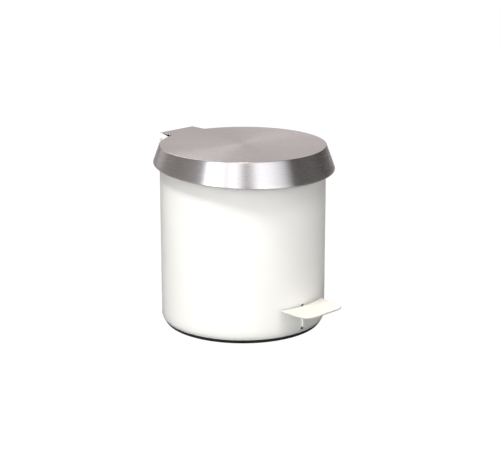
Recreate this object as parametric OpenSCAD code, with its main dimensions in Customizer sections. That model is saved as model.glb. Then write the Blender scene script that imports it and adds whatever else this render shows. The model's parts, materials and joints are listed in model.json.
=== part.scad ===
// Small round pedal bin: a painted steel casing, a flared brushed steel lid with a hinge tab,
// a pedal lever at the front, a lift rod at the back and a bucket that lifts out.
// Origin: on the floor, on the casing's axis. -Y points to the pedal, +Y to the hinge, +Z up.

/* [Casing] */
// Outer radius of the casing
casing_r = 95; // [94:0.5:96]
// Sheet thickness of the casing
casing_wall = 0.8; // [0.6:0.1:1]
// Height of the casing's bottom edge above the floor
casing_bottom = 4.6; // [4.5:0.1:4.7]
// Height at which the casing starts to curve in at its foot
turn_top = 8.2; // [8.1:0.1:8.3]
// Radius of the casing's lower edge
turn_r = 93.2; // [93.1:0.1:93.3]
// Height of the casing's rolled top edge
casing_top = 203; // [202:0.5:203]
// Radius of the rolled top edge
bead_r = 1.4; // [1.2:0.1:1.5]
// Width of the pedal slot
slot_w = 4; // [3.6:0.1:5]
// Bottom end of the pedal slot
slot_low = 8.6; // [8.5:0.1:9]
// Top end of the pedal slot
slot_high = 38.6; // [38.5:0.1:42]
// Radius where the base ring stands on the floor
foot_r = 90.3; // [89:0.1:91]

/* [Lid] */
// Height of the lid's flat top
lid_top = 208.4; // [208.4:0.1:209]
// Radius of the flat top's edge
lid_r = 95.3; // [95.3:0.1:96]
// Sheet thickness of the lid
lid_sheet = 0.8; // [0.6:0.1:0.8]
// Flare of the skirt from upright, in degrees
skirt_flare = 20.1; // [19:0.1:22]
// Height of the skirt's rim where it crosses the casing's axis
rim_mid = 185.2; // [184:0.1:187]
// Slant of the rim, lower at the pedal, in degrees
rim_slant = 3.05; // [2.5:0.05:3.5]
// Width of the hinge tab
tab_w = 52; // [50:0.5:52]
// Distance of the tab's back edge from the casing's axis
tab_reach = 112.5; // [112:0.1:112.5]
// How far the lid opens, in degrees
lid_open = 76; // [60:1:76]

/* [Hinge] */
// Distance of the hinge pin behind the casing's axis
pin_y = 109; // [108.8:0.1:109.2]
// Height of the hinge pin
pin_z = 203; // [202.8:0.1:203.2]
// Radius of the hinge pin
pin_r = 1.6; // [1.4:0.1:1.8]
// Length of the crank that the lift rod pushes
crank_len = 27; // [26.5:0.1:27.5]
// Slope of the crank below the horizontal with the lid shut, in degrees
crank_drop = 38; // [37:0.5:38]

/* [Pedal] */
// Width of the foot plate
pad_w = 64; // [56:1:68]
// Distance of the foot plate's front edge from the casing's axis
pad_front = 132.5; // [128:0.5:136]
// Height of the foot plate's top
pad_top = 38; // [37:0.1:38]
// Thickness of the foot plate
pad_t = 2.4; // [1.5:0.1:2.5]
// Corner radius of the foot plate
pad_corner = 14; // [8:0.5:16]
// Gap between the foot plate and the casing
pad_gap = 3; // [2.5:0.1:4]
// Thickness of the lever
lever_t = 3; // [2:0.1:3.2]
// Distance of the lever's pivot in front of the casing's axis
pivot_f = 80; // [79:0.1:81]
// Height of the lever's pivot
pivot_z = 14; // [14:0.1:14.5]
// Radius of the pivot pin
pivot_r = 2; // [1.5:0.1:2.2]

/* [Lift rod] */
// Distance of the rod behind the casing's axis
rod_y = 86.2; // [86.2:0.1:86.5]
// Radius of the rod
rod_r = 2; // [1.5:0.1:2]

/* [Bucket] */
// Height of the bucket's rim
bucket_rim = 190; // [188:0.5:190]
// Height of the bucket's underside
bucket_low = 50; // [50:0.5:60]
// Outer radius of the bucket below its rim
bucket_r = 79; // [77.5:0.1:79]
// Outer radius of the bucket's floor
bucket_foot_r = 74; // [68:0.5:74]
// Wall thickness of the bucket
bucket_wall = 1.5; // [1.2:0.1:2]
// Radius of the carrying wire
bail_r = 1.5; // [1.2:0.1:1.5]

/* [Hidden] */

$fn = 96;
run_fit = 0.05;                     // radial clearance of a pin that turns or slides
casing_in = casing_r - casing_wall;

// Base
plate_low = 6;                      // underside of the base plate
plate_t = 1;
plate_high = plate_low + plate_t;
ring_inner_r = 84;
ring_step_r = 88;
ring_step_z = 4.2;
ring_top = 5.8;
screw_r = 1.4;
screw_circle = 90.3;
screw_angles = [0, 120, 240];

// Pedal bracket
bracket_sheet = 1.2;
bracket_half_w = 14;
bracket_len = 16;
ear_in = lever_t / 2 + 0.8;
ear_out = ear_in + bracket_sheet;
ear_r = 6;
rivet_r = 1.5;
rivet_head_r = 2.6;
rivet_head_t = 1;
rivet_seat = 0.05;                  // set of a rivet's head off the sheet
pivot_head_t = 1;

// Lever outline
lever_boss_r = 5;
arm_low = 10.5;
arm_high = 17;
blade_low = 12;
blade_front = casing_r + 2.5;

// Hinge
hinge_sheet = 1.5;
bracket_x = tab_w / 2 + 0.3 + hinge_sheet;  // outer face of the hinge bracket's cheeks
cheek_r = 4.2;
cheek_top = 207.2;
cheek_corner = 1.5;
bracket_low = 174;
bracket_back = pin_y + cheek_r;
back_wall_top = 197;
flange_top = 200;
flange_fit = 0.05;
crank_window = 6;                   // half width of the opening that the crank passes through
hinge_rivet_angle = 9;
hinge_rivet_z = [180, 194];
pin_head_t = 0.9;
pin_head_r = 2.3;

// Lid
edge_r = 1;
skirt_low = 170;
window_x = bracket_x + 0.7;          // half width of the gap in the skirt behind the tab
sheet_under = lid_top - lid_sheet;
knuckle_r = 3.6;
knuckle_in = 7;
knuckle_out = 23;
crank_half_t = 2.5;
crank_half_w = 1.5;
crank_hub_r = 4.2;
crank_boss_r = 3;
buffer_r = 2.5;
buffer_circle = casing_r - bead_r - 1;
buffer_angles = [30, 150, 270];
buffer_gap = 0.2;

// Lift rod
lost_motion = 0.6;                  // free play between the rod's cap and the crank
shoe_gap = 0.3;
shoe_r = 3.5;
shoe_top = 30;
rod_low = arm_high + shoe_gap + shoe_r + 1;
cap_r = 3.4;
cap_h = 6;
cap_chamfer = 0.4;
cap_top = pin_z - crank_len * sin(crank_drop) - crank_boss_r - lost_motion;
rod_top = cap_top - 2;
guide_h = 8;
guide_half_w = 9;
lower_guide_z = 66;
upper_guide_z = 160;

// Bucket and its seat
seat_inner_r = 79.8;
seat_z = bucket_rim - 2.5;
seat_t = 3;
seat_play = 0.1;                    // play between the bucket's lip and its seat
seat_gap_half = 9.5;                // half width of the seat's gap for the rod and crank
lip_r = 85;
lip_flat_y = 79.2;                  // the lip is cropped here to clear the rod
bail_arc_r = 80.2;
bail_z = bucket_rim + bail_r + 0.3;
lug_x = 83;
lug_t = 1.8;
lug_half_w = 4;

// ---- helpers ----

// A cylinder along X, centred on the origin
module x_rod(r, length) {
    rotate([0, 90, 0]) cylinder(r = r, h = length, center = true);
}

// A plate in the YZ plane, centred on X = 0
module side_plate(thickness) {
    rotate([90, 0, 90]) translate([0, 0, -thickness / 2]) linear_extrude(thickness) children();
}

// Two rivet heads and the shank between them, along +Z, gripping from z = 0
module rivet(grip) {
    for (z = [-rivet_head_t - rivet_seat, grip + rivet_seat])
        translate([0, 0, z]) cylinder(r = rivet_head_r, h = rivet_head_t, $fn = 32);
    translate([0, 0, -rivet_seat]) cylinder(r = rivet_r, h = grip + 2 * rivet_seat, $fn = 32);
}

// Places its children at the four hinge rivets, with +Z pointing out of the casing
module at_hinge_rivets() {
    for (a = [-1, 1], z = hinge_rivet_z)
        rotate([0, 0, a * hinge_rivet_angle]) translate([0, casing_in, z]) rotate([-90, 0, 0])
            children();
}

// Places its children at the four rivets of the pedal bracket
module at_bracket_rivets() {
    for (x = [-10, 10], y = [-4, 4])
        translate([x, y - pivot_f, plate_low]) children();
}

// ---- casing ----

module casing_shell() color("white") difference() {
    rotate_extrude($fn = 160) union() {
        polygon([
            [turn_r, casing_bottom], [turn_r + 0.9, casing_bottom + 0.9],
            [casing_r - 0.4, casing_bottom + 1.8], [casing_r, turn_top],
            [casing_r, casing_top - bead_r], [casing_in, casing_top - bead_r],
            [casing_in, turn_top], [casing_in - 0.4, casing_bottom + 2],
            [turn_r + 0.2, casing_bottom + 1.2], [turn_r - 0.6, casing_bottom + 0.5]
        ]);
        translate([casing_r - bead_r, casing_top - bead_r]) circle(bead_r);
    }
    translate([-slot_w / 2, -casing_r - 5, slot_low]) cube([slot_w, 10, slot_high - slot_low]);
    translate([-crank_window, casing_r - 10, bracket_low + 12]) cube([2 * crank_window, 20, 40]);
    at_hinge_rivets() translate([0, 0, -2]) cylinder(r = rivet_r, h = 6, $fn = 32);
}

module base_plate() color("silver") difference() {
    rotate_extrude($fn = 160) polygon([
        [0, plate_low], [turn_r - 0.1, plate_low], [casing_in - 0.6, plate_high - 0.4],
        [casing_in - flange_fit, turn_top], [casing_in - flange_fit, slot_low - 0.2],
        [casing_in - 1, slot_low - 0.2],
        [casing_in - 1, plate_high], [0, plate_high]
    ]);
    at_bracket_rivets() translate([0, 0, -1]) cylinder(r = rivet_r, h = 4, $fn = 32);
    for (a = screw_angles) rotate([0, 0, a]) translate([screw_circle, 0, 0])
        cylinder(r = screw_r, h = 10, $fn = 32);
}

module base_ring() color("#1c1c1c") difference() {
    rotate_extrude($fn = 160) polygon([
        [ring_inner_r, 0], [foot_r, 0], [foot_r + 1.4, 1.6], [turn_r - 0.3, casing_bottom - 0.2],
        [turn_r - 0.9, casing_bottom - 0.2], [turn_r - 0.9, casing_bottom + 0.6],
        [turn_r - 0.4, ring_top],
        [ring_step_r, ring_top], [ring_step_r, ring_step_z], [ring_inner_r, ring_step_z]
    ]);
    for (a = screw_angles) rotate([0, 0, a]) translate([screw_circle, 0, 2.5])
        cylinder(r = screw_r, h = 10, $fn = 32);
}

module base_screws() color("silver")
    for (a = screw_angles) rotate([0, 0, a]) translate([screw_circle, 0, 0]) difference() {
        union() {
            translate([0, 0, 2.5]) cylinder(r = screw_r, h = plate_high - 2.5, $fn = 32);
            translate([0, 0, plate_high]) cylinder(r1 = 2.6, r2 = 2, h = 1.5, $fn = 32);
        }
        for (turn = [0, 90]) rotate([0, 0, turn])
            translate([-1.5, -0.3, plate_high + 0.8]) cube([3, 0.6, 2]);
    }

module pedal_bracket() color("silver") translate([0, -pivot_f, 0]) difference() {
    union() {
        translate([-bracket_half_w, -bracket_len / 2, plate_high])
            cube([2 * bracket_half_w, bracket_len, bracket_sheet]);
        for (side = [-1, 1]) translate([side * (ear_in + ear_out) / 2, 0, 0]) {
            translate([-bracket_sheet / 2, -ear_r, plate_high])
                cube([bracket_sheet, 2 * ear_r, pivot_z - plate_high]);
            translate([0, 0, pivot_z]) x_rod(ear_r, bracket_sheet);
        }
    }
    translate([0, 0, pivot_z]) x_rod(pivot_r, 20);
    translate([0, pivot_f, 0]) at_bracket_rivets() cylinder(r = rivet_r, h = 4, $fn = 32);
}

module bracket_rivets() color("silver")
    at_bracket_rivets() rivet(plate_t + bracket_sheet);

module pivot_pin() color("silver") translate([0, -pivot_f, pivot_z]) difference() {
    union() {
        x_rod(pivot_r, 2 * ear_out + 4);
        translate([ear_out + pivot_head_t / 2, 0, 0]) x_rod(pivot_r + 1, pivot_head_t);
    }
    translate([ear_out + pivot_head_t + 2, 0, 0]) x_rod(pivot_r + 2, 4);
    translate([-ear_out - 0.4, 0, 0]) difference() {
        x_rod(pivot_r + 1, 0.8);
        x_rod(pivot_r - 0.5, 2);
    }
}

module pivot_clip() color("dimgray") translate([-ear_out - 0.4, -pivot_f, pivot_z]) difference() {
    x_rod(pivot_r + 1.6, 0.76);
    x_rod(pivot_r - 0.5, 2);
    translate([0, 0, 3]) cube([2, 2, 6], center = true);
}

// A plastic block on the inside of the back wall, bored for the rod
module rod_guide(z) color("lightgray") difference() {
    intersection() {
        translate([0, 0, z]) cylinder(r = casing_in - flange_fit, h = guide_h, $fn = 160);
        union() {
            translate([-guide_half_w, casing_in - 4, z]) cube([2 * guide_half_w, 8, guide_h]);
            translate([-4, rod_y, z]) cube([8, 20, guide_h]);
            translate([0, rod_y, z]) cylinder(r = 4, h = guide_h, $fn = 48);
        }
    }
    translate([0, rod_y, z - 1]) cylinder(r = rod_r + run_fit, h = guide_h + 2, $fn = 48);
}

module lower_rod_guide() rod_guide(lower_guide_z);

module upper_rod_guide() rod_guide(upper_guide_z);

module bucket_seat() color("lightgray") difference() {
    rotate_extrude($fn = 160) polygon([
        [seat_inner_r, seat_z - seat_t], [casing_in - 0.1, seat_z - seat_t],
        [casing_in - 0.1, casing_top - 2 * bead_r - 0.2],
        [casing_in - 1.6, casing_top - 2 * bead_r - 0.2], [casing_in - 1.6, seat_z],
        [seat_inner_r, seat_z]
    ]);
    translate([-seat_gap_half, 0, seat_z - 10]) cube([2 * seat_gap_half, 120, 40]);
    at_hinge_rivets() translate([0, 0, -2]) cylinder(r = rivet_head_r + 0.4, h = 6, $fn = 32);
}

// ---- hinge ----

// Outline of the bracket's cheek in Y and Z
module cheek_outline() {
    polygon([
        [casing_r - 8, bracket_low], [bracket_back, bracket_low],
        [bracket_back, cheek_top - cheek_corner], [bracket_back - cheek_corner, cheek_top],
        [pin_y - 4, cheek_top], [casing_r - 8, pin_z + 0.5]
    ]);
    translate([bracket_back - cheek_corner, cheek_top - cheek_corner]) circle(cheek_corner, $fn = 32);
}

module hinge_bracket() color("white") difference() {
    union() {
        for (side = [-1, 1]) translate([side * (bracket_x - hinge_sheet / 2), 0, 0])
            side_plate(hinge_sheet) cheek_outline();
        translate([-bracket_x, bracket_back - hinge_sheet, bracket_low])
            cube([2 * bracket_x, hinge_sheet, back_wall_top - bracket_low]);
        translate([-bracket_x, casing_r - 8, bracket_low])
            cube([2 * bracket_x, bracket_back - casing_r + 8, hinge_sheet]);
        intersection() {
            translate([0, 0, bracket_low])
                cylinder(r = casing_r + flange_fit + hinge_sheet, h = flange_top - bracket_low, $fn = 160);
            translate([-bracket_x, 0, bracket_low]) cube([2 * bracket_x, 120, 40]);
        }
    }
    translate([0, 0, bracket_low - 1]) cylinder(r = casing_r + flange_fit, h = 60, $fn = 160);
    translate([-crank_window, casing_r - 10, bracket_low + 12])
        cube([2 * crank_window, 14, 40]);
    translate([0, pin_y, pin_z]) x_rod(pin_r, 80);
    at_hinge_rivets() cylinder(r = rivet_r, h = 6, $fn = 32);
}

module hinge_rivets() color("silver")
    at_hinge_rivets() rivet(casing_wall + flange_fit + hinge_sheet);

module hinge_pin() color("silver") translate([0, pin_y, pin_z]) {
    x_rod(pin_r, 2 * bracket_x + 3);
    translate([-bracket_x - pin_head_t / 2, 0, 0]) x_rod(pin_head_r, pin_head_t);
}

module hinge_pin_clip() color("dimgray") translate([bracket_x + 0.45, pin_y, pin_z]) difference() {
    x_rod(pin_head_r + 0.6, 0.8);
    x_rod(pin_r, 2);
}

// ---- pedal ----

// Outline of the lever in distance from the pivot towards the front, and height
module lever_outline() {
    polygon([
        [pad_front - 14, pad_top - pad_t], [casing_r - 1.5, pad_top - pad_t],
        [casing_r - 5, 28], [pivot_f - 6, arm_high + 2], [pivot_f - 18, arm_high],
        [-rod_y - 5, arm_high], [-rod_y - 5, arm_low], [pivot_f - 8, arm_low],
        [pivot_f, pivot_z - lever_boss_r], [pivot_f + 6, blade_low - 1], [pivot_f + 10, blade_low],
        [blade_front, blade_low], [blade_front, 26], [blade_front + 4, 31]
    ]);
    translate([pivot_f, pivot_z]) circle(lever_boss_r, $fn = 48);
}

module pedal_lever() color("white") difference() {
    mirror([0, 1, 0]) side_plate(lever_t) lever_outline();
    translate([0, -pivot_f, pivot_z]) x_rod(pivot_r + run_fit, 10);
}

module foot_plate() color("ivory") translate([0, 0, pad_top - pad_t]) difference() {
    linear_extrude(pad_t) union() {
        translate([-pad_w / 2, pad_corner - pad_front]) square([pad_w, pad_front - pad_corner - 60]);
        translate([pad_corner - pad_w / 2, -pad_front])
            square([pad_w - 2 * pad_corner, pad_front - 60]);
        for (side = [-1, 1])
            translate([side * (pad_w / 2 - pad_corner), pad_corner - pad_front]) circle(pad_corner);
    }
    translate([0, 0, -1]) cylinder(r = casing_r + pad_gap, h = pad_t + 2, $fn = 160);
}

// ---- lift rod ----

module lift_rod() color("silver") translate([0, rod_y, rod_low])
    cylinder(r = rod_r, h = rod_top - rod_low, $fn = 48);

module rod_shoe() color("lightgray") translate([0, rod_y, 0]) difference() {
    union() {
        translate([0, 0, arm_high + shoe_gap + shoe_r]) sphere(shoe_r, $fn = 48);
        translate([0, 0, arm_high + shoe_gap + shoe_r])
            cylinder(r = shoe_r, h = shoe_top - arm_high - shoe_gap - shoe_r, $fn = 48);
    }
    translate([0, 0, rod_low]) cylinder(r = rod_r, h = 40, $fn = 48);
}

module rod_cap() color("lightgray") translate([0, rod_y, cap_top - cap_h]) difference() {
    union() {
        cylinder(r = cap_r, h = cap_h - cap_chamfer, $fn = 48);
        translate([0, 0, cap_h - cap_chamfer])
            cylinder(r1 = cap_r, r2 = cap_r - cap_chamfer, h = cap_chamfer, $fn = 48);
    }
    translate([0, 0, -1]) cylinder(r = rod_r, h = rod_top - cap_top + cap_h + 1, $fn = 48);
}

// ---- lid ----

// Half section of the lid as a solid, with its surface set in by the given sheet thickness
module lid_section(inset) {
    slope = tan(skirt_flare);
    tangent = edge_r / tan((90 + skirt_flare) / 2);
    top = lid_top - inset;
    edge = lid_r - inset / cos(skirt_flare) + inset * slope;
    polygon([
        [0, skirt_low - inset], [0, top], [edge - tangent, top],
        [edge + tangent * sin(skirt_flare), top - tangent * cos(skirt_flare)],
        [edge + (top - skirt_low + inset) * slope, skirt_low - inset]
    ]);
    if (inset == 0) translate([edge - tangent, top - edge_r]) circle(edge_r, $fn = 64);
}

module lid_shell() color("#b4abaa") union() {
    difference() {
        rotate_extrude($fn = 160) difference() {
            lid_section(0);
            lid_section(lid_sheet);
        }
        translate([0, 0, rim_mid]) rotate([rim_slant, 0, 0]) translate([-150, -150, -100])
            cube([300, 300, 100]);
        translate([-window_x, 60, 150]) cube([2 * window_x, 70, sheet_under - 150]);
    }
    translate([0, 0, sheet_under]) linear_extrude(lid_sheet) union() {
        translate([-tab_w / 2, 80]) square([tab_w, tab_reach - 81.5]);
        translate([1.5 - tab_w / 2, 80]) square([tab_w - 3, tab_reach - 80]);
        for (side = [-1, 1]) translate([side * (tab_w / 2 - 1.5), tab_reach - 1.5])
            circle(1.5, $fn = 32);
    }
}

module lid_hinge_plate() color("silver") difference() {
    union() {
        translate([-21, 64, sheet_under - 1.2]) cube([42, tab_reach - 65.5, 1.2]);
        for (side = [-1, 1])
            translate([side * (knuckle_in + knuckle_out) / 2, pin_y, pin_z])
                x_rod(knuckle_r, knuckle_out - knuckle_in);
        for (side = [-1, 1])
            translate([side * (knuckle_in + knuckle_out) / 2 - 8, pin_y - 1.5, pin_z])
                cube([16, 3, sheet_under - pin_z - 0.6]);
        translate([0, pin_y, pin_z]) {
            x_rod(crank_hub_r, 2 * crank_half_t);
            translate([-crank_half_t, -1.5, 0]) cube([2 * crank_half_t, 3, sheet_under - pin_z - 0.6]);
            rotate([crank_drop, 0, 0]) {
                translate([-crank_half_t, -crank_len, -crank_half_w])
                    cube([2 * crank_half_t, crank_len, 2 * crank_half_w]);
                translate([0, -crank_len, 0]) x_rod(crank_boss_r, 2 * crank_half_t + 3);
            }
        }
    }
    translate([0, pin_y, pin_z]) x_rod(pin_r + run_fit, 80);
}

module lid_buffers() color("#303030")
    for (a = buffer_angles) rotate([0, 0, a]) translate([buffer_circle - 1.5, 0, 0])
        translate([0, 0, casing_top + buffer_gap])
            cylinder(r = buffer_r, h = sheet_under - casing_top - buffer_gap, $fn = 32);

// ---- bucket ----

module bucket() color("#d8d8d6") difference() {
    union() {
        rotate_extrude($fn = 160) polygon([
            [0, bucket_low], [bucket_foot_r - 3, bucket_low], [bucket_foot_r, bucket_low + 3],
            [bucket_r, seat_z + seat_play], [lip_r, seat_z + seat_play], [lip_r, bucket_rim],
            [bucket_r - bucket_wall, bucket_rim],
            [bucket_foot_r - bucket_wall, bucket_low + 3.5],
            [bucket_foot_r - 3.5, bucket_low + bucket_wall], [0, bucket_low + bucket_wall]
        ]);
        for (side = [-1, 1]) translate([side * lug_x, 0, bail_z]) {
            x_rod(lug_half_w, lug_t);
            translate([-lug_t / 2, -lug_half_w, bucket_rim - bail_z - 1])
                cube([lug_t, 2 * lug_half_w, bail_z - bucket_rim + 1]);
        }
    }
    translate([0, 0, bail_z]) x_rod(bail_r + run_fit, 200);
    translate([-50, lip_flat_y, seat_z - 1]) cube([100, 20, 10]);
}

module bucket_bail() color("silver") translate([0, 0, bail_z]) {
    rotate([0, 0, 180]) rotate_extrude(angle = 180, $fn = 160)
        translate([bail_arc_r, 0]) circle(bail_r, $fn = 32);
    for (side = [-1, 1]) translate([side * bail_arc_r, 0, 0]) {
        sphere(bail_r, $fn = 32);
        translate([side * 2.4, 0, 0]) x_rod(bail_r, 4.8);
    }
}

casing_shell();
base_plate();
base_ring();
base_screws();
pedal_bracket();
bracket_rivets();
pivot_pin();
pivot_clip();
lower_rod_guide();
upper_rod_guide();
bucket_seat();
hinge_bracket();
hinge_rivets();
hinge_pin();
hinge_pin_clip();
pedal_lever();
foot_plate();
lift_rod();
rod_shoe();
rod_cap();
lid_shell();
lid_hinge_plate();
lid_buffers();
bucket();
bucket_bail();
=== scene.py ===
"""Looks of the pedal bin: detailed pieces, materials, studio and camera around the CAD frame."""

import json
import math

import bmesh
import bpy
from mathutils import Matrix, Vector


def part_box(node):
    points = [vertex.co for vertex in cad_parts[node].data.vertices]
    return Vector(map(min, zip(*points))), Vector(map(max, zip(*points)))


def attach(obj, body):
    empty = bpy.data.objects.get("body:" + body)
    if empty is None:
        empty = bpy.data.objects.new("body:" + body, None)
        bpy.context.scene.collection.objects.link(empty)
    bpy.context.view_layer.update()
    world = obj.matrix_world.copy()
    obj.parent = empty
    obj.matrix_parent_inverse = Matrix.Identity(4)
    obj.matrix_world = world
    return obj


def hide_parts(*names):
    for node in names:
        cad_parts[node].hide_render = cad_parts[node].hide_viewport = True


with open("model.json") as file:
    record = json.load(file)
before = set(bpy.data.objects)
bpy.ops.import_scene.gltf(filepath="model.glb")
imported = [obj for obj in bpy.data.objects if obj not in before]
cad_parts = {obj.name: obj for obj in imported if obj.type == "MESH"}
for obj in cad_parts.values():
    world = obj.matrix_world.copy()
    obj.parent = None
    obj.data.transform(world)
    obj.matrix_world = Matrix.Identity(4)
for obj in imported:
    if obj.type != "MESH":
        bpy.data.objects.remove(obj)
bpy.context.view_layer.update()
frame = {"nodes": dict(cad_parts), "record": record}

MM = 0.001

# ---- sizes, from the CAD frame where a box gives them ----

casing_lo, casing_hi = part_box("casing_shell")
plate_lo, plate_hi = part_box("foot_plate")
bucket_lo, bucket_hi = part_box("bucket")
bail_lo, bail_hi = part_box("bucket_bail")
lid_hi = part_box("lid_shell")[1]
ring_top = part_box("base_ring")[1].z
bracket_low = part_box("hinge_bracket")[0].z

casing_r = casing_hi.y
casing_wall = 0.8 * MM
casing_edge_r = 93.2 * MM           # lower edge of the casing
bead = 1.4 * MM                     # curl along the casing's top edge
slot_half = 2 * MM
slot_low = 8.6 * MM
slot_high = 38.6 * MM
notch_half = 6 * MM                 # opening in the back wall that the crank passes through
notch_low = bracket_low + 12 * MM

lid_top = lid_hi.z
lid_r = casing_r + 0.3 * MM
lid_sheet = 0.8 * MM
lid_edge = 1.0 * MM                 # radius between the flat top and the skirt
lid_hem = 3.2 * MM
skirt_slope = math.tan(math.radians(20.1))
rim_tilt = math.tan(math.radians(3.05))
rim_mid = lid_top - 23.2 * MM
tab_back = lid_hi.y
tab_half = 26 * MM
tab_corner = 1.5 * MM
window_half = 28.5 * MM             # gap in the skirt behind the tab

pad_corner = 14 * MM
pad_gap = 3 * MM                    # between the foot plate's hollow back and the casing

bucket_rim = 190 * MM
bucket_r = 79 * MM
bucket_foot_r = 74 * MM
bucket_wall = 1.5 * MM
bail_r = (bail_hi.z - bail_lo.z) / 2
bail_z = (bail_lo.z + bail_hi.z) / 2
bail_arm = 80.2 * MM


# ---- mesh helpers ----

def sharpen(bm, angle=35):
    """Smooth faces everywhere, with a crease wherever two faces meet at more than the angle."""
    limit = math.radians(angle)
    for face in bm.faces:
        face.smooth = True
    for edge in bm.edges:
        edge.smooth = len(edge.link_faces) == 2 and edge.calc_face_angle(0) < limit


def link(name, data):
    """A new object in the scene."""
    obj = bpy.data.objects.new(name, data)
    bpy.context.scene.collection.objects.link(obj)
    return obj


def finish_mesh(name, bm, angle=35):
    """Turns a bmesh into an object, welded, with its faces outward and its creases set."""
    bmesh.ops.remove_doubles(bm, verts=bm.verts, dist=1e-7)
    bmesh.ops.recalc_face_normals(bm, faces=bm.faces)
    sharpen(bm, angle)
    mesh = bpy.data.meshes.new(name)
    bm.to_mesh(mesh)
    bm.free()
    return link(name, mesh)


def arc(cx, cz, radius, start, end, steps):
    """Points on an arc, angles in degrees."""
    turns = [math.radians(start + (end - start) * i / steps) for i in range(steps + 1)]
    return [(cx + radius * math.cos(t), cz + radius * math.sin(t)) for t in turns]


def lathe(name, profile, segments, warp=None):
    """A closed profile of (radius, height) turned about Z. The warp moves each point."""
    bm = bmesh.new()
    rings = []
    for i in range(segments):
        t = 2 * math.pi * i / segments
        ring = []
        for r, z in profile:
            point = Vector((r * math.cos(t), r * math.sin(t), z))
            ring.append(bm.verts.new(warp(point) if warp else point))
        rings.append(ring)
    count = len(profile)
    for a, b in zip(rings, rings[1:] + rings[:1]):
        for k in range(count):
            j = (k + 1) % count
            on_axis = max(profile[k][0], profile[j][0]) < 1e-9
            if not on_axis:
                bm.faces.new([a[k], b[k], b[j], a[j]])
    return finish_mesh(name, bm)


def outward(points):
    """Unit normals of a closed counter-clockwise outline, mitred at its corners."""
    normals = []
    count = len(points)
    for i in range(count):
        before, here, after = points[i - 1], points[i], points[(i + 1) % count]
        a = Vector((here[1] - before[1], before[0] - here[0])).normalized()
        b = Vector((after[1] - here[1], here[0] - after[0])).normalized()
        mid = (a + b).normalized()
        normals.append(mid / max(mid.dot(a), 0.4))
    return normals


def plate(name, outline, low, high, edge, steps=5):
    """A flat plate with rounded edges, from an outline in X and Y."""
    normals = outward(outline)
    quarter = [math.pi / 2 * i / steps for i in range(steps + 1)]
    path = [(edge * math.sin(t) - edge, high - edge + edge * math.cos(t)) for t in quarter]
    path += [(edge * math.cos(t) - edge, low + edge - edge * math.sin(t)) for t in quarter]
    bm = bmesh.new()
    rings = []
    for inset, height in path:
        rings.append([bm.verts.new((p[0] + n.x * inset, p[1] + n.y * inset, height))
                      for p, n in zip(outline, normals)])
    count = len(outline)
    for upper, lower in zip(rings, rings[1:]):
        for i in range(count):
            j = (i + 1) % count
            bm.faces.new([upper[i], lower[i], lower[j], upper[j]])
    bm.faces.new(rings[0])
    bm.faces.new(list(reversed(rings[-1])))
    return finish_mesh(name, bm, 50)


def tube(name, path, radius, sides=24):
    """A round wire along a path of points, drawn in at its ends."""
    bm = bmesh.new()
    rings = []
    side = None
    last = len(path) - 1
    turns = [2 * math.pi * k / sides for k in range(sides)]
    for i, point in enumerate(path):
        along = (path[min(i + 1, last)] - path[max(i - 1, 0)]).normalized()
        side = (along.orthogonal() if side is None else side - along * side.dot(along)).normalized()
        across = along.cross(side)
        reach = radius * (0.55 if i in (0, last) else 1.0)
        rings.append([bm.verts.new(point + (side * math.cos(t) + across * math.sin(t)) * reach)
                      for t in turns])
    for a, b in zip(rings, rings[1:]):
        for k in range(sides):
            j = (k + 1) % sides
            bm.faces.new([a[k], a[j], b[j], b[k]])
    bm.faces.new(list(reversed(rings[0])))
    bm.faces.new(rings[-1])
    return finish_mesh(name, bm, 60)


def bake_modifiers(obj):
    """Replaces the mesh with its modified one and sets the creases again."""
    graph = bpy.context.evaluated_depsgraph_get()
    mesh = bpy.data.meshes.new_from_object(obj.evaluated_get(graph))
    obj.modifiers.clear()
    obj.data = mesh
    bm = bmesh.new()
    bm.from_mesh(mesh)
    sharpen(bm)
    bm.to_mesh(mesh)
    bm.free()


def cut(obj, cutter):
    """Takes the cutter's shape out of obj, and the cutter out of the scene."""
    tool = obj.modifiers.new("cut", "BOOLEAN")
    tool.operation = "DIFFERENCE"
    tool.solver = "EXACT"
    tool.object = cutter
    bake_modifiers(obj)
    bpy.data.objects.remove(cutter)


def rounded_box(name, low, high, corner):
    """A block along Y with its four long edges rounded: it cuts slots."""
    outline = []
    for x, z, start in ((high.x - corner, high.z - corner, 0), (low.x + corner, high.z - corner, 90),
                        (low.x + corner, low.z + corner, 180), (high.x - corner, low.z + corner, 270)):
        outline += arc(x, z, corner, start, start + 90, 6)
    bm = bmesh.new()
    front = [bm.verts.new((x, low.y, z)) for x, z in outline]
    back = [bm.verts.new((x, high.y, z)) for x, z in outline]
    for i in range(len(outline)):
        j = (i + 1) % len(outline)
        bm.faces.new([front[i], front[j], back[j], back[i]])
    bm.faces.new(front)
    bm.faces.new(list(reversed(back)))
    return finish_mesh(name, bm)


# ---- material helpers ----

def new_material(name):
    """A material with its node tree and its Principled shader."""
    mat = bpy.data.materials.new(name)
    mat.use_nodes = True
    return mat, mat.node_tree, mat.node_tree.nodes["Principled BSDF"]


def add(tree, kind, **values):
    """A node, with its properties and its input sockets set by name."""
    node = tree.nodes.new(kind)
    for key, value in values.items():
        if hasattr(node, key):
            setattr(node, key, value)
        else:
            node.inputs[key.replace("_", " ")].default_value = value
    return node


def math_node(tree, operation, a, b=None, c=None):
    """Output of a Math node whose inputs are numbers or sockets."""
    node = tree.nodes.new("ShaderNodeMath")
    node.operation = operation
    for socket, value in zip(node.inputs, (a, b, c)):
        if value is None:
            continue
        if isinstance(value, (int, float)):
            socket.default_value = value
        else:
            tree.links.new(value, socket)
    return node.outputs[0]


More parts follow.
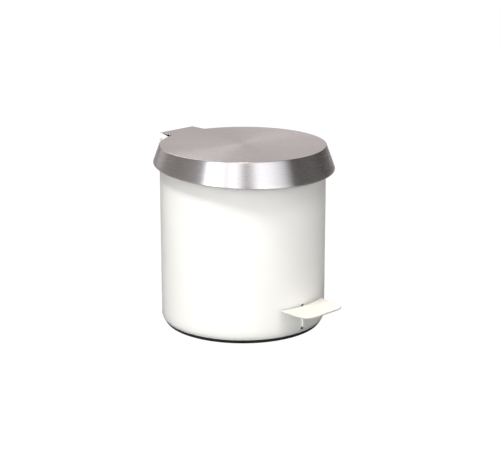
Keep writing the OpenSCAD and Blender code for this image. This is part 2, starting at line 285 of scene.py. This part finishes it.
def ramp(tree, factor, stops):
    """A linear colour ramp: stops are (position, colour or grey)."""
    node = tree.nodes.new("ShaderNodeValToRGB")
    elements = node.color_ramp.elements
    while len(elements) < len(stops):
        elements.new(0.5)
    for element, (position, colour) in zip(elements, sorted(stops, key=lambda s: s[0])):
        channels = (colour,) * 3 if isinstance(colour, (int, float)) else colour
        element.position = position
        element.color = (*channels, 1)
    tree.links.new(factor, node.inputs[0])
    return node.outputs[0]


def noise(tree, vector, scale, detail, rough):
    """Noise between 0 and 1."""
    node = add(tree, "ShaderNodeTexNoise", Scale=scale, Detail=detail, Roughness=rough)
    tree.links.new(vector, node.inputs["Vector"])
    return node.outputs["Fac"]


def bump(tree, shader, heights, distance):
    """Bump from one or more (height, strength) pairs, chained."""
    normal = None
    for height, strength in heights:
        node = add(tree, "ShaderNodeBump", Strength=strength, Distance=distance)
        tree.links.new(height, node.inputs["Height"])
        if normal is not None:
            tree.links.new(normal, node.inputs["Normal"])
        normal = node.outputs["Normal"]
    tree.links.new(normal, shader.inputs["Normal"])


def object_coords(tree):
    """Coordinates that move with the object."""
    return tree.nodes.new("ShaderNodeTexCoord").outputs["Object"]


def painted_rim_shade(tree, colour, amount):
    """Painted shade: the colour, darker where the surface turns away from the view."""
    facing = tree.nodes.new("ShaderNodeLayerWeight").outputs["Facing"]
    turned_away = math_node(tree, "POWER", facing, 3.0)
    scaled = add(tree, "ShaderNodeVectorMath", operation="SCALE")
    tree.links.new(colour, scaled.inputs[0])
    tree.links.new(math_node(tree, "MULTIPLY_ADD", turned_away, -amount, 1.0), scaled.inputs["Scale"])
    return scaled.outputs[0]


def plain_material(name, dark, light, rough, grain, grain_strength, speck=0.0, coat=0.0,
                   coat_rough=0.1, painted_shade_amount=0.0):
    """Paint, plastic or rubber: mottled colour, smudged roughness, a fine grain and, if asked, painted shade
    towards the silhouette.
    """
    blotch = 14.0
    mat, tree, shader = new_material(name)
    coords = object_coords(tree)
    colour = ramp(tree, noise(tree, coords, blotch, 4.0, 0.6), [(0.3, dark), (0.7, light)])
    # painted shade: the colour darkens where the surface turns away from the view
    if painted_shade_amount:
        colour = painted_rim_shade(tree, colour, painted_shade_amount)
    tree.links.new(colour, shader.inputs["Base Color"])
    smudge = noise(tree, coords, blotch * 3.1, 5.0, 0.65)
    tree.links.new(ramp(tree, smudge, [(0.25, rough[0]), (0.75, rough[1])]), shader.inputs["Roughness"])
    heights = [(noise(tree, coords, grain, 2.0, 0.5), grain_strength)]
    if speck:
        heights.append((noise(tree, coords, grain * 0.13, 2.0, 0.5), speck))
    bump(tree, shader, heights, 0.1 * MM)
    shader.inputs["Coat Weight"].default_value = coat
    shader.inputs["Coat Roughness"].default_value = coat_rough
    return mat


def round_tangent(tree, shader, x, y):
    """Points the shader's tangent away from the object's Z axis, so highlights spread across the lines."""
    flat = tree.nodes.new("ShaderNodeCombineXYZ")
    tree.links.new(x, flat.inputs[0])
    tree.links.new(y, flat.inputs[1])
    turned = add(tree, "ShaderNodeVectorTransform", vector_type="VECTOR",
                 convert_from="OBJECT", convert_to="WORLD")
    tree.links.new(flat.outputs[0], turned.inputs[0])
    unit = add(tree, "ShaderNodeVectorMath", operation="NORMALIZE")
    tree.links.new(turned.outputs[0], unit.inputs[0])
    tree.links.new(unit.outputs[0], shader.inputs["Tangent"])


def brushed_round(name, dark, light, rough, anisotropy, lines, strength):
    """Steel brushed in circles about the object's Z axis."""
    mat, tree, shader = new_material(name)
    coords = object_coords(tree)
    split = tree.nodes.new("ShaderNodeSeparateXYZ")
    tree.links.new(coords, split.inputs[0])
    x, y, z = split.outputs
    squares = [math_node(tree, "MULTIPLY", axis, axis) for axis in (x, y)]
    radius = math_node(tree, "SQRT", math_node(tree, "ADD", *squares))
    turn = math_node(tree, "ARCTAN2", x, y)

    def along_lines(scale, stretch):
        vector = tree.nodes.new("ShaderNodeCombineXYZ")
        tree.links.new(math_node(tree, "MULTIPLY", radius, scale), vector.inputs[0])
        tree.links.new(math_node(tree, "MULTIPLY", turn, stretch), vector.inputs[1])
        tree.links.new(math_node(tree, "MULTIPLY", z, scale), vector.inputs[2])
        return vector.outputs[0]

    fine = noise(tree, along_lines(lines, 1.3), 1.0, 3.0, 0.6)
    broad = noise(tree, along_lines(lines * 0.17, 0.7), 1.0, 2.0, 0.5)
    cloud = noise(tree, coords, 9.0, 4.0, 0.6)
    mixed = math_node(tree, "MULTIPLY", fine, 0.75)
    for layer, share in ((broad, 0.1), (cloud, 0.15)):
        mixed = math_node(tree, "MULTIPLY_ADD", layer, share, mixed)
    tree.links.new(ramp(tree, mixed, [(0.36, dark), (0.64, light)]), shader.inputs["Base Color"])
    tree.links.new(ramp(tree, mixed, [(0.3, rough[0]), (0.7, rough[1])]), shader.inputs["Roughness"])
    bump(tree, shader, [(fine, strength), (broad, strength * 0.2)], 0.02 * MM)
    round_tangent(tree, shader, x, y)
    shader.inputs["Metallic"].default_value = 1.0
    shader.inputs["Anisotropic"].default_value = anisotropy
    return mat


def plated(name, dark, light, rough):
    """Zinc-plated or drawn steel: cloudy tone and fine scratches."""
    mat, tree, shader = new_material(name)
    coords = object_coords(tree)
    cloud = noise(tree, coords, 130.0, 5.0, 0.65)
    tree.links.new(ramp(tree, cloud, [(0.3, dark), (0.7, light)]), shader.inputs["Base Color"])
    stretched = add(tree, "ShaderNodeMapping")
    stretched.inputs["Scale"].default_value = (1.0, 6.0, 1.0)
    tree.links.new(coords, stretched.inputs["Vector"])
    scratch = noise(tree, stretched.outputs[0], 700.0, 3.0, 0.6)
    tree.links.new(ramp(tree, scratch, [(0.3, rough[0]), (0.7, rough[1])]), shader.inputs["Roughness"])
    bump(tree, shader, [(scratch, 0.15)], 0.03 * MM)
    shader.inputs["Metallic"].default_value = 1.0
    return mat


# ---- materials ----

# white_paint carries painted shade: its colour is up to 0.4 darker towards its silhouette
white_paint = plain_material("white_paint", (0.78, 0.785, 0.745), (0.81, 0.81, 0.775), (0.14, 0.2),
                             2600.0, 0.02, speck=0.012, coat=0.12, coat_rough=0.06, painted_shade_amount=0.4)
cream_paint = plain_material("cream_paint", (0.545, 0.53, 0.475), (0.575, 0.56, 0.505), (0.36, 0.46),
                             3000.0, 0.06, speck=0.02)
black_plastic = plain_material("black_plastic", (0.006, 0.006, 0.006), (0.012, 0.012, 0.011), (0.5, 0.65),
                               3500.0, 0.2)
bucket_plastic = plain_material("bucket_plastic", (0.028, 0.029, 0.031), (0.042, 0.043, 0.046), (0.3, 0.44),
                                2800.0, 0.1, speck=0.05)
grey_plastic = plain_material("grey_plastic", (0.52, 0.52, 0.5), (0.6, 0.6, 0.58), (0.35, 0.5),
                              2600.0, 0.1)
rubber = plain_material("rubber", (0.02, 0.02, 0.02), (0.035, 0.035, 0.035), (0.65, 0.8), 3000.0, 0.25)
spring_steel = plated("spring_steel", (0.12, 0.12, 0.13), (0.2, 0.2, 0.21), (0.3, 0.45))
zinc_steel = plated("zinc_steel", (0.55, 0.56, 0.58), (0.68, 0.68, 0.69), (0.22, 0.36))
brushed_lid = brushed_round("brushed_lid", (0.59, 0.58, 0.585), (0.62, 0.61, 0.615), (0.265, 0.285), 0.87,
                            4200.0, 0.022)

MATERIALS = {
    "white_paint": white_paint, "cream_paint": cream_paint, "black_plastic": black_plastic,
    "bucket_plastic": bucket_plastic, "grey_plastic": grey_plastic, "rubber": rubber,
    "spring_steel": spring_steel, "zinc_steel": zinc_steel, "brushed_lid": brushed_lid,
}


def dress(piece, slot, body, *nodes):
    """Gives a new piece the material of its slot and its body, and hides the CAD nodes it stands for."""
    piece.data.materials.clear()
    piece.data.materials.append(MATERIALS[slot])
    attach(piece, body)
    if nodes:
        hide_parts(*nodes)


# ---- casing ----

def make_casing():
    """Painted tube with a curled top edge, a turned-in foot, the pedal slot and the crank's notch."""
    inner = casing_r - casing_wall
    low = casing_lo.z
    top = casing_hi.z
    turn_top = 8.9 * MM
    slot_corner = 0.8 * MM
    notch_corner = 1.5 * MM
    slot_reach = 5 * MM
    notch_reach = 10 * MM
    edge = Vector((casing_edge_r, low + 0.1 * MM))
    bend = Vector((94.35 * MM, 6.4 * MM))
    fold = Vector((casing_r, turn_top))
    profile = [(casing_edge_r - 0.6 * MM, low + 0.5 * MM), (casing_edge_r - 0.2 * MM, low)]
    profile += [edge.lerp(bend, s).lerp(bend.lerp(fold, s), s) for s in (i / 10 for i in range(11))]
    profile += [(casing_r, turn_top + (top - bead - turn_top) * i / 24) for i in range(1, 24)]
    profile += arc(casing_r - bead, top - bead, bead, 0, 290, 24)
    profile += [(inner, profile[-1][1] - 0.6 * MM), (inner, turn_top), (inner - 0.35 * MM, 6.7 * MM),
                (casing_edge_r + 0.1 * MM, low + 1.2 * MM)]
    casing = lathe("casing", profile, 384)
    cut(casing, rounded_box("slot_cutter", Vector((-slot_half, -casing_r - slot_reach, slot_low)),
                            Vector((slot_half, -casing_r + slot_reach, slot_high)), slot_corner))
    cut(casing, rounded_box("notch_cutter", Vector((-notch_half, casing_r - notch_reach, notch_low)),
                            Vector((notch_half, casing_r + notch_reach, top + notch_reach)), notch_corner))
    dress(casing, "white_paint", "casing", "casing_shell")


def make_base_ring():
    """Black foot ring, rounded below, its shoulder tucked under the casing's turned-in edge."""
    inner = 84 * MM
    step = 88 * MM
    step_z = 4.2 * MM
    foot = 90.3 * MM
    foot_edge = 0.4 * MM
    shoulder = 92.9 * MM
    shoulder_z = casing_lo.z - 0.2 * MM
    neck = 92.3 * MM
    bulge = 1.6 * MM
    profile = [(inner, foot_edge), (inner + foot_edge, 0), (foot - foot_edge, 0)]
    profile += arc(foot - 0.3 * MM, foot_edge, foot_edge, -70, -30, 2)
    profile += [(foot + (shoulder - foot) * s + bulge * s * (1 - s), foot_edge + (shoulder_z - foot_edge) * s)
                for s in (i / 8 for i in range(1, 9))]
    profile += [(neck, shoulder_z), (neck, shoulder_z + 0.8 * MM), (neck + 0.5 * MM, ring_top),
                (step, ring_top), (step, step_z), (inner, step_z)]
    dress(lathe("foot_ring", profile, 320), "black_plastic", "casing", "base_ring")


# ---- lid ----

def lid_edge_path(turn):
    """Section of the lid at one bearing from +Y, from the flat top round the skirt to the underside."""
    flare = math.atan(skirt_slope)
    down = Vector((math.sin(flare), -math.cos(flare)))
    inward = Vector((-math.cos(flare), -math.sin(flare)))
    rim_r = (lid_r + skirt_slope * (lid_top - rim_mid)) / (1 + skirt_slope * rim_tilt * math.cos(turn))
    rim_z = lid_top - (rim_r - lid_r) / skirt_slope

    tangent = lid_edge / math.tan((math.pi / 2 + flare) / 2)
    edge = arc(lid_r - tangent, lid_top - lid_edge, lid_edge, 90, math.degrees(flare), 8)
    path = [Vector(point) for point in edge]
    start = path[-1]
    end = Vector((rim_r, rim_z)) - down * lid_sheet
    path += [start.lerp(end, i / 8) for i in range(1, 9)]

    nose = end + inward * lid_sheet
    path += [nose + (down * math.sin(t) - inward * math.cos(t)) * lid_sheet
             for t in (math.pi * i / 8 for i in range(1, 8))]
    hem_in = nose + inward * lid_sheet
    hem_top = nose - down * lid_hem
    path += [hem_in, hem_in - down * (lid_hem - 0.3 * MM), hem_top + inward * lid_sheet * 0.7, hem_top]

    under = lid_top - lid_sheet
    under_r = lid_r - lid_sheet / math.cos(flare) + lid_sheet * skirt_slope
    corner = Vector((under_r + 0.5 * MM * math.sin(flare), under - 0.5 * MM))
    path += [hem_top.lerp(corner, i / 6) for i in range(1, 7)]
    path += [Vector((under_r - 0.1 * MM, under - 0.12 * MM)), Vector((under_r - 0.6 * MM, under))]
    return path


def skirt_columns():
    """Sections all round the skirt, from one side of the window behind the tab to the other."""
    window_turn = math.asin(window_half / lid_r)
    steps = 336
    columns = []
    for i in range(steps + 1):
        turn = window_turn + (2 * math.pi - 2 * window_turn) * i / steps
        columns.append([(math.sin(turn) * r, math.cos(turn) * r, z) for r, z in lid_edge_path(turn)])
    return columns


def tab_outline():
    """Edge of the hinge tab from above, from one side of the window round to the other."""
    edge_y = math.sqrt(lid_r ** 2 - tab_half ** 2)
    window_y = math.sqrt(lid_r ** 2 - window_half ** 2)
    side_end = tab_back - tab_corner
    half = [Vector((-window_half, window_y)), Vector((-tab_half - 0.4 * MM, edge_y)),
            Vector((-tab_half, edge_y + 0.5 * MM))]
    half += [Vector((-tab_half, edge_y + (side_end - edge_y) * i / 6)) for i in range(1, 6)]
    half += [Vector(p) for p in arc(-tab_half + tab_corner, side_end, tab_corner, 180, 90, 6)]
    half += [Vector(((tab_corner - tab_half) * (1 - i / 5), tab_back)) for i in range(1, 6)]
    return half + [Vector((-p.x, p.y)) for p in reversed(half[:-1])]


def tab_columns(stations):
    """Sections along the tab's edge, which is half round, each with the given number of points."""
    outline = tab_outline()
    half = lid_sheet / 2
    turns = [math.pi * k / (stations - 1) for k in range(stations)]
    columns = []
    for i, here in enumerate(outline):
        along = (outline[min(i + 1, len(outline) - 1)] - outline[max(i - 1, 0)]).normalized()
        out = Vector((-along.y, along.x))
        column = []
        for t in turns:
            point = here - out * half * (1 - math.sin(t))
            column.append((point.x, point.y, lid_top - half + half * math.cos(t)))
        columns.append(column)
    return columns


def fill_disc(bm, rim, height):
    """Closes one face of the lid with rings that shrink to the centre."""
    count = len(rim)
    outer = rim
    for share in (0.75, 0.5, 0.25):
        ring = [bm.verts.new((v.co.x * share, v.co.y * share, height)) for v in rim]
        for i in range(count):
            j = (i + 1) % count
            bm.faces.new([outer[i], outer[j], ring[j], ring[i]])
        outer = ring
    centre = bm.verts.new((0, 0, height))
    for i in range(count):
        bm.faces.new([outer[i], outer[(i + 1) % count], centre])


def make_lid():
    """One pressed sheet: flat top, flared skirt with a folded hem, and the hinge tab behind."""
    columns = skirt_columns()
    columns += tab_columns(len(columns[0]))
    bm = bmesh.new()
    grid = [[bm.verts.new(point) for point in column] for column in columns]
    for a, b in zip(grid, grid[1:] + grid[:1]):
        for k in range(len(a) - 1):
            bm.faces.new([a[k], a[k + 1], b[k + 1], b[k]])
    fill_disc(bm, [column[0] for column in grid], lid_top)
    fill_disc(bm, [column[-1] for column in grid], lid_top - lid_sheet)
    dress(finish_mesh("lid", bm, 40), "brushed_lid", "lid", "lid_shell")


# ---- pedal ----

def make_foot_plate():
    """Pressed foot plate: concave behind, rounded in front, with soft edges."""
    half = plate_hi.x
    corner_y = plate_lo.y + pad_corner
    hollow = casing_r + pad_gap
    reach = math.asin(half / hollow)
    outline = arc(half - pad_corner, corner_y, pad_corner, -90, 0, 10)
    outline += [(hollow * math.sin(t), -hollow * math.cos(t))
                for t in (reach * (1 - i / 20) for i in range(41))]
    outline += arc(-half + pad_corner, corner_y, pad_corner, 180, 270, 10)
    pad = plate("foot_pad", outline, plate_lo.z, plate_hi.z, 0.8 * MM)
    dress(pad, "cream_paint", "pedal", "foot_plate")


# ---- bucket ----

def make_pail():
    """Tapered bucket with a rounded foot and a rolled lip, which is cropped behind to clear the rod."""
    low = bucket_lo.z
    lip_r = bucket_hi.x
    crop_y = bucket_hi.y
    seat = bucket_rim - 2.4 * MM
    roll = 1.2 * MM
    foot_round = 3 * MM
    inner_round = 2.5 * MM
    dish_r = 60 * MM                # the floor is dished up inside this radius
    dish_rise = 1.2 * MM
    taper = (0.25, 0.5, 0.75, 0.93)

    def wall(inset, base, share):
        """A point of the wall, the given share of the way up from the foot."""
        return (bucket_foot_r - inset + (bucket_r - bucket_foot_r) * share, base + (seat - base) * share)

    profile = [(0, low + dish_rise), (dish_r / 3, low + dish_rise), (dish_r, low + 0.8 * MM),
               (dish_r + 3 * MM, low)]
    profile += arc(bucket_foot_r - foot_round, low + foot_round, foot_round, -90, 0, 8)
    profile += [wall(0, low + foot_round, share) for share in taper]
    profile += [(bucket_r, seat), (lip_r - 1.1 * MM, seat), (lip_r - 1.0 * MM, seat)]
    profile += arc(lip_r - roll, bucket_rim - roll, roll, -60, 90, 8)
    profile += arc(bucket_r - bucket_wall + roll, bucket_rim - roll, roll, 90, 180, 6)
    profile += [wall(bucket_wall, low + 4 * MM, share) for share in reversed(taper)]
    profile += arc(bucket_foot_r - bucket_wall - inner_round, low + 4.5 * MM, inner_round, 0, -90, 6)
    profile += [(dish_r, low + 2.2 * MM), (0, low + dish_rise + 1.4 * MM)]

    def crop(point):
        return Vector((point.x, min(point.y, crop_y), point.z)) if point.z > seat - 0.3 * MM else point

    dress(lathe("pail", profile, 256, crop), "bucket_plastic", "bucket", "bucket")


def make_lug(name, side):
    """A lug on the bucket's rim: round above, square below, and bored for the handle's end."""
    turns = 32
    faces_x = (82.1 * MM, 83.9 * MM)
    hole = bail_r + 0.05 * MM
    half = 4 * MM
    foot_drop = bail_z - bucket_rim + 0.5 * MM
    bm = bmesh.new()
    loops = []
    for x in faces_x:
        bore = []
        rim = []
        for i in range(turns):
            c = math.cos(2 * math.pi * i / turns)
            s = math.sin(2 * math.pi * i / turns)
            reach = half if s >= 0 else min(half / max(abs(c), 1e-6), foot_drop / -s)
            bore.append(bm.verts.new((side * x, c * hole, bail_z + s * hole)))
            rim.append(bm.verts.new((side * x, c * reach, bail_z + s * reach)))
        loops += [bore, rim]
    bore_in, rim_in, bore_out, rim_out = loops
    for a, b in ((bore_in, rim_in), (rim_in, rim_out), (rim_out, bore_out), (bore_out, bore_in)):
        for i in range(turns):
            j = (i + 1) % turns
            bm.faces.new([a[i], b[i], b[j], a[j]])
    dress(finish_mesh(name, bm, 40), "bucket_plastic", "bucket")


def make_bail():
    """Wire handle lying on the bucket's lip, its ends turned out through the lugs."""
    bend = 2.5 * MM
    path = [Vector((-bail_hi.x + 0.2 * MM, 0, bail_z))]
    path += [Vector((-bail_arm - bend + bend * math.sin(t), -bend + bend * math.cos(t), bail_z))
             for t in (math.pi / 2 * i / 6 for i in range(7))]
    sweep = math.asin(bend / bail_arm)
    path += [Vector((-bail_arm * math.cos(t), -bail_arm * math.sin(t), bail_z))
             for t in (sweep + (math.pi - 2 * sweep) * i / 96 for i in range(1, 96))]
    path += [Vector((-p.x, p.y, p.z)) for p in reversed(path[:8])]
    dress(tube("wire_handle", path, bail_r), "zinc_steel", "bail", "bucket_bail")


make_casing()
make_base_ring()
make_lid()
make_foot_plate()
make_pail()
make_lug("wire_lug_left", -1)
make_lug("wire_lug_right", 1)
make_bail()


# ---- CAD nodes that stay ----

SOFT_EDGE_MM = {"hinge_bracket": 0.35, "pedal_lever": 0.3, "lid_hinge_plate": 0.25, "pedal_bracket": 0.2,
                "bucket_seat": 0.3}


def soften_edges(node, width):
    """Rounds a folded or moulded node's edges by modifiers, which leave its own vertices alone."""
    flatten = node.modifiers.new("flatten", "DECIMATE")
    flatten.decimate_type = "DISSOLVE"
    flatten.angle_limit = math.radians(0.5)
    soften = node.modifiers.new("soften", "BEVEL")
    soften.width = width
    soften.segments = 3
    soften.limit_method = "ANGLE"
    soften.angle_limit = math.radians(40)
    soften.harden_normals = True


def dress_cad_nodes():
    """Gives every visible CAD node the material of its record slot."""
    slot_of = {part["node"]: part["material_slot"] for part in frame["record"]["subparts"]}
    for name, node in frame["nodes"].items():
        if node.hide_render:
            continue
        node.data.materials.clear()
        node.data.materials.append(MATERIALS[slot_of[name]])
        weld = node.modifiers.new("weld", "WELD")
        weld.merge_threshold = 0.002 * MM
        if name in SOFT_EDGE_MM:
            soften_edges(node, SOFT_EDGE_MM[name] * MM)


dress_cad_nodes()


# ---- studio ----

CAMERA_AZIMUTH = -45.0
CAMERA_ELEVATION = 16.02
CAMERA_DISTANCE = 1.66086
CAMERA_TARGET = Vector((0.00573, -0.00573, 0.09959))
CAMERA_LENS = 103.23


def towards(azimuth, elevation):
    """Unit vector at an azimuth from -Y and an elevation, both in degrees."""
    turn = math.radians(azimuth)
    lift = math.radians(elevation)
    return Vector((math.sin(turn) * math.cos(lift), -math.cos(turn) * math.cos(lift), math.sin(lift)))


def aim(obj, direction, distance):
    """Stands an object off from the target and turns it to face it."""
    obj.location = CAMERA_TARGET + direction * distance
    obj.rotation_mode = "QUATERNION"
    obj.rotation_quaternion = (-direction).to_track_quat("-Z", "Y")


def make_camera():
    """The camera that takes the main view."""
    data = bpy.data.cameras.new("camera")
    data.lens = CAMERA_LENS
    data.sensor_width = 36
    data.clip_end = 100
    camera = link("camera", data)
    aim(camera, towards(CAMERA_AZIMUTH, CAMERA_ELEVATION), CAMERA_DISTANCE)
    bpy.context.scene.camera = camera


def make_floor():
    """Pale floor: it looks white to the camera but gives back less than a quarter of its light."""
    mat, tree, shader = new_material("floor_white")
    shader.inputs["Base Color"].default_value = (0.23, 0.23, 0.23, 1)
    shader.inputs["Roughness"].default_value = 0.9
    shader.inputs["Specular IOR Level"].default_value = 0.1
    glow = add(tree, "ShaderNodeEmission", Color=(1, 1, 1, 1), Strength=1.1)
    to_camera = tree.nodes.new("ShaderNodeLightPath").outputs["Is Camera Ray"]
    seen = tree.nodes.new("ShaderNodeMixShader")
    tree.links.new(math_node(tree, "MULTIPLY", to_camera, 0.9), seen.inputs[0])
    tree.links.new(shader.outputs[0], seen.inputs[1])
    tree.links.new(glow.outputs[0], seen.inputs[2])
    tree.links.new(seen.outputs[0], tree.nodes["Material Output"].inputs["Surface"])
    bm = bmesh.new()
    bmesh.ops.create_grid(bm, x_segments=1, y_segments=1, size=30)
    mesh = bpy.data.meshes.new("floor")
    bm.to_mesh(mesh)
    bm.free()
    mesh.materials.append(mat)
    link("floor", mesh)


# Light level at each bearing from the camera, negative to its left, at each of the RINGS' elevations
WALLS = [(-180, 0.7), (-160, 0.2), (-140, 0.75), (-120, 0.32), (-95, 0.3), (-66, 0.45), (-53, 0.75),
         (-43, 6.0), (-33, 5.0), (-23, 1.0), (-14, 3.0), (-6, 2.3), (4, 0.2), (11, 1.0), (20, 2.85),
         (30, 2.7), (40, 2.3), (54, 1.6), (68, 0.15), (95, 0.14), (125, 0.05), (150, 0.1), (180, 0.7)]
HALF_WAY = [(-180, 0.4), (-163, 1.0), (-150, 2.0), (-137, 0.4), (-120, 0.1), (-95, 0.1), (-50, 0.4),
            (-36, 1.0), (-24, 1.7), (-12, 0.7), (-2, 0.5), (12, 0.6), (24, 0.5), (40, 0.7), (56, 0.25),
            (75, 0.0), (95, 0.0), (130, 0.6), (160, 1.5), (180, 0.4)]
OVERHEAD = [(-180, 0.3), (-90, 0.1), (-45, 0.4), (0, 7.5), (45, 0.4), (90, 0.1), (180, 0.3)]
RINGS = (15.0, 45.0, 75.0)
BRIGHTEST = 7.0
WARM = (1.07, 0.98, 0.95)
COOL = (0.98, 0.99, 1.02)

# Softboxes: bearing from the camera, elevation, half angle and brightness. The first three light the
# surfaces without showing in the metal. The glint only shows in the metal.
SOFTBOXES = {"key": (-45.0, 63.5, 5.5, 96.0), "fill": (45.0, 67.5, 6.0, 28.0),
             "back": (180.0, 48.0, 14.0, 11.0), "glint": (-150.0, 46.0, 16.0, 1.3)}
SOFTBOX_DISTANCE = 2.0


def make_softboxes():
    """Round area lights that all face the bin."""
    for name, (bearing, elevation, spread, level) in SOFTBOXES.items():
        reach = SOFTBOX_DISTANCE * math.tan(math.radians(spread))
        data = bpy.data.lights.new(name, "AREA")
        data.shape = "DISK"
        data.size = 2 * reach
        data.energy = level * math.pi ** 2 * reach ** 2
        light = link(name, data)
        aim(light, towards(CAMERA_AZIMUTH + bearing, elevation), SOFTBOX_DISTANCE)
        light.visible_glossy = name == "glint"
        light.visible_diffuse = name != "glint"


def make_world():
    """Studio light as a function of bearing and elevation. The camera itself sees plain white."""
    world = bpy.data.worlds.new("studio")
    bpy.context.scene.world = world
    world.use_nodes = True
    tree = world.node_tree
    background = tree.nodes["Background"]
    direction = tree.nodes.new("ShaderNodeTexCoord").outputs["Generated"]
    turned = add(tree, "ShaderNodeVectorRotate", rotation_type="Z_AXIS", Angle=-math.radians(CAMERA_AZIMUTH))
    tree.links.new(direction, turned.inputs["Vector"])
    split = tree.nodes.new("ShaderNodeSeparateXYZ")
    tree.links.new(turned.outputs[0], split.inputs[0])
    x, y, z = split.outputs
    bearing = math_node(tree, "ARCTAN2", x, math_node(tree, "MULTIPLY", y, -1.0))
    share = math_node(tree, "MULTIPLY_ADD", bearing, 0.5 / math.pi, 0.5)
    elevation = math_node(tree, "ARCSINE", z)

    def around(levels, front):
        """Levels all round, in the front tint within 60 degrees of the camera and warm elsewhere."""
        stops = []
        for degrees, level in levels:
            tint = front if abs(degrees) < 60 else WARM
            stops.append(((degrees + 180) / 360, [level / BRIGHTEST * c for c in tint]))
        return ramp(tree, share, stops)

    def mixed(factor, low, high):
        """One colour where the factor is 0, the other where it is 1."""
        mix = add(tree, "ShaderNodeMix", data_type="RGBA")
        tree.links.new(factor, mix.inputs["Factor"])
        tree.links.new(low, mix.inputs[6])
        tree.links.new(high, mix.inputs[7])
        return mix.outputs[2]

    light = around(WALLS, COOL)
    for foot, top, levels in zip(RINGS, RINGS[1:], (HALF_WAY, OVERHEAD)):
        span = math.radians(top - foot)
        climb = math_node(tree, "MULTIPLY_ADD", elevation, 1 / span, -math.radians(foot) / span)
        light = mixed(climb, light, around(levels, WARM))
    unit = 1 / BRIGHTEST
    white = tree.nodes.new("ShaderNodeRGB").outputs[0]
    white.default_value = (unit, unit, unit, 1)
    to_camera = tree.nodes.new("ShaderNodeLightPath").outputs["Is Camera Ray"]
    tree.links.new(mixed(to_camera, light, white), background.inputs["Color"])
    background.inputs["Strength"].default_value = BRIGHTEST


make_camera()
make_floor()
make_world()
make_softboxes()
scene = bpy.context.scene
scene.view_settings.view_transform = "Standard"
scene.view_settings.look = "None"
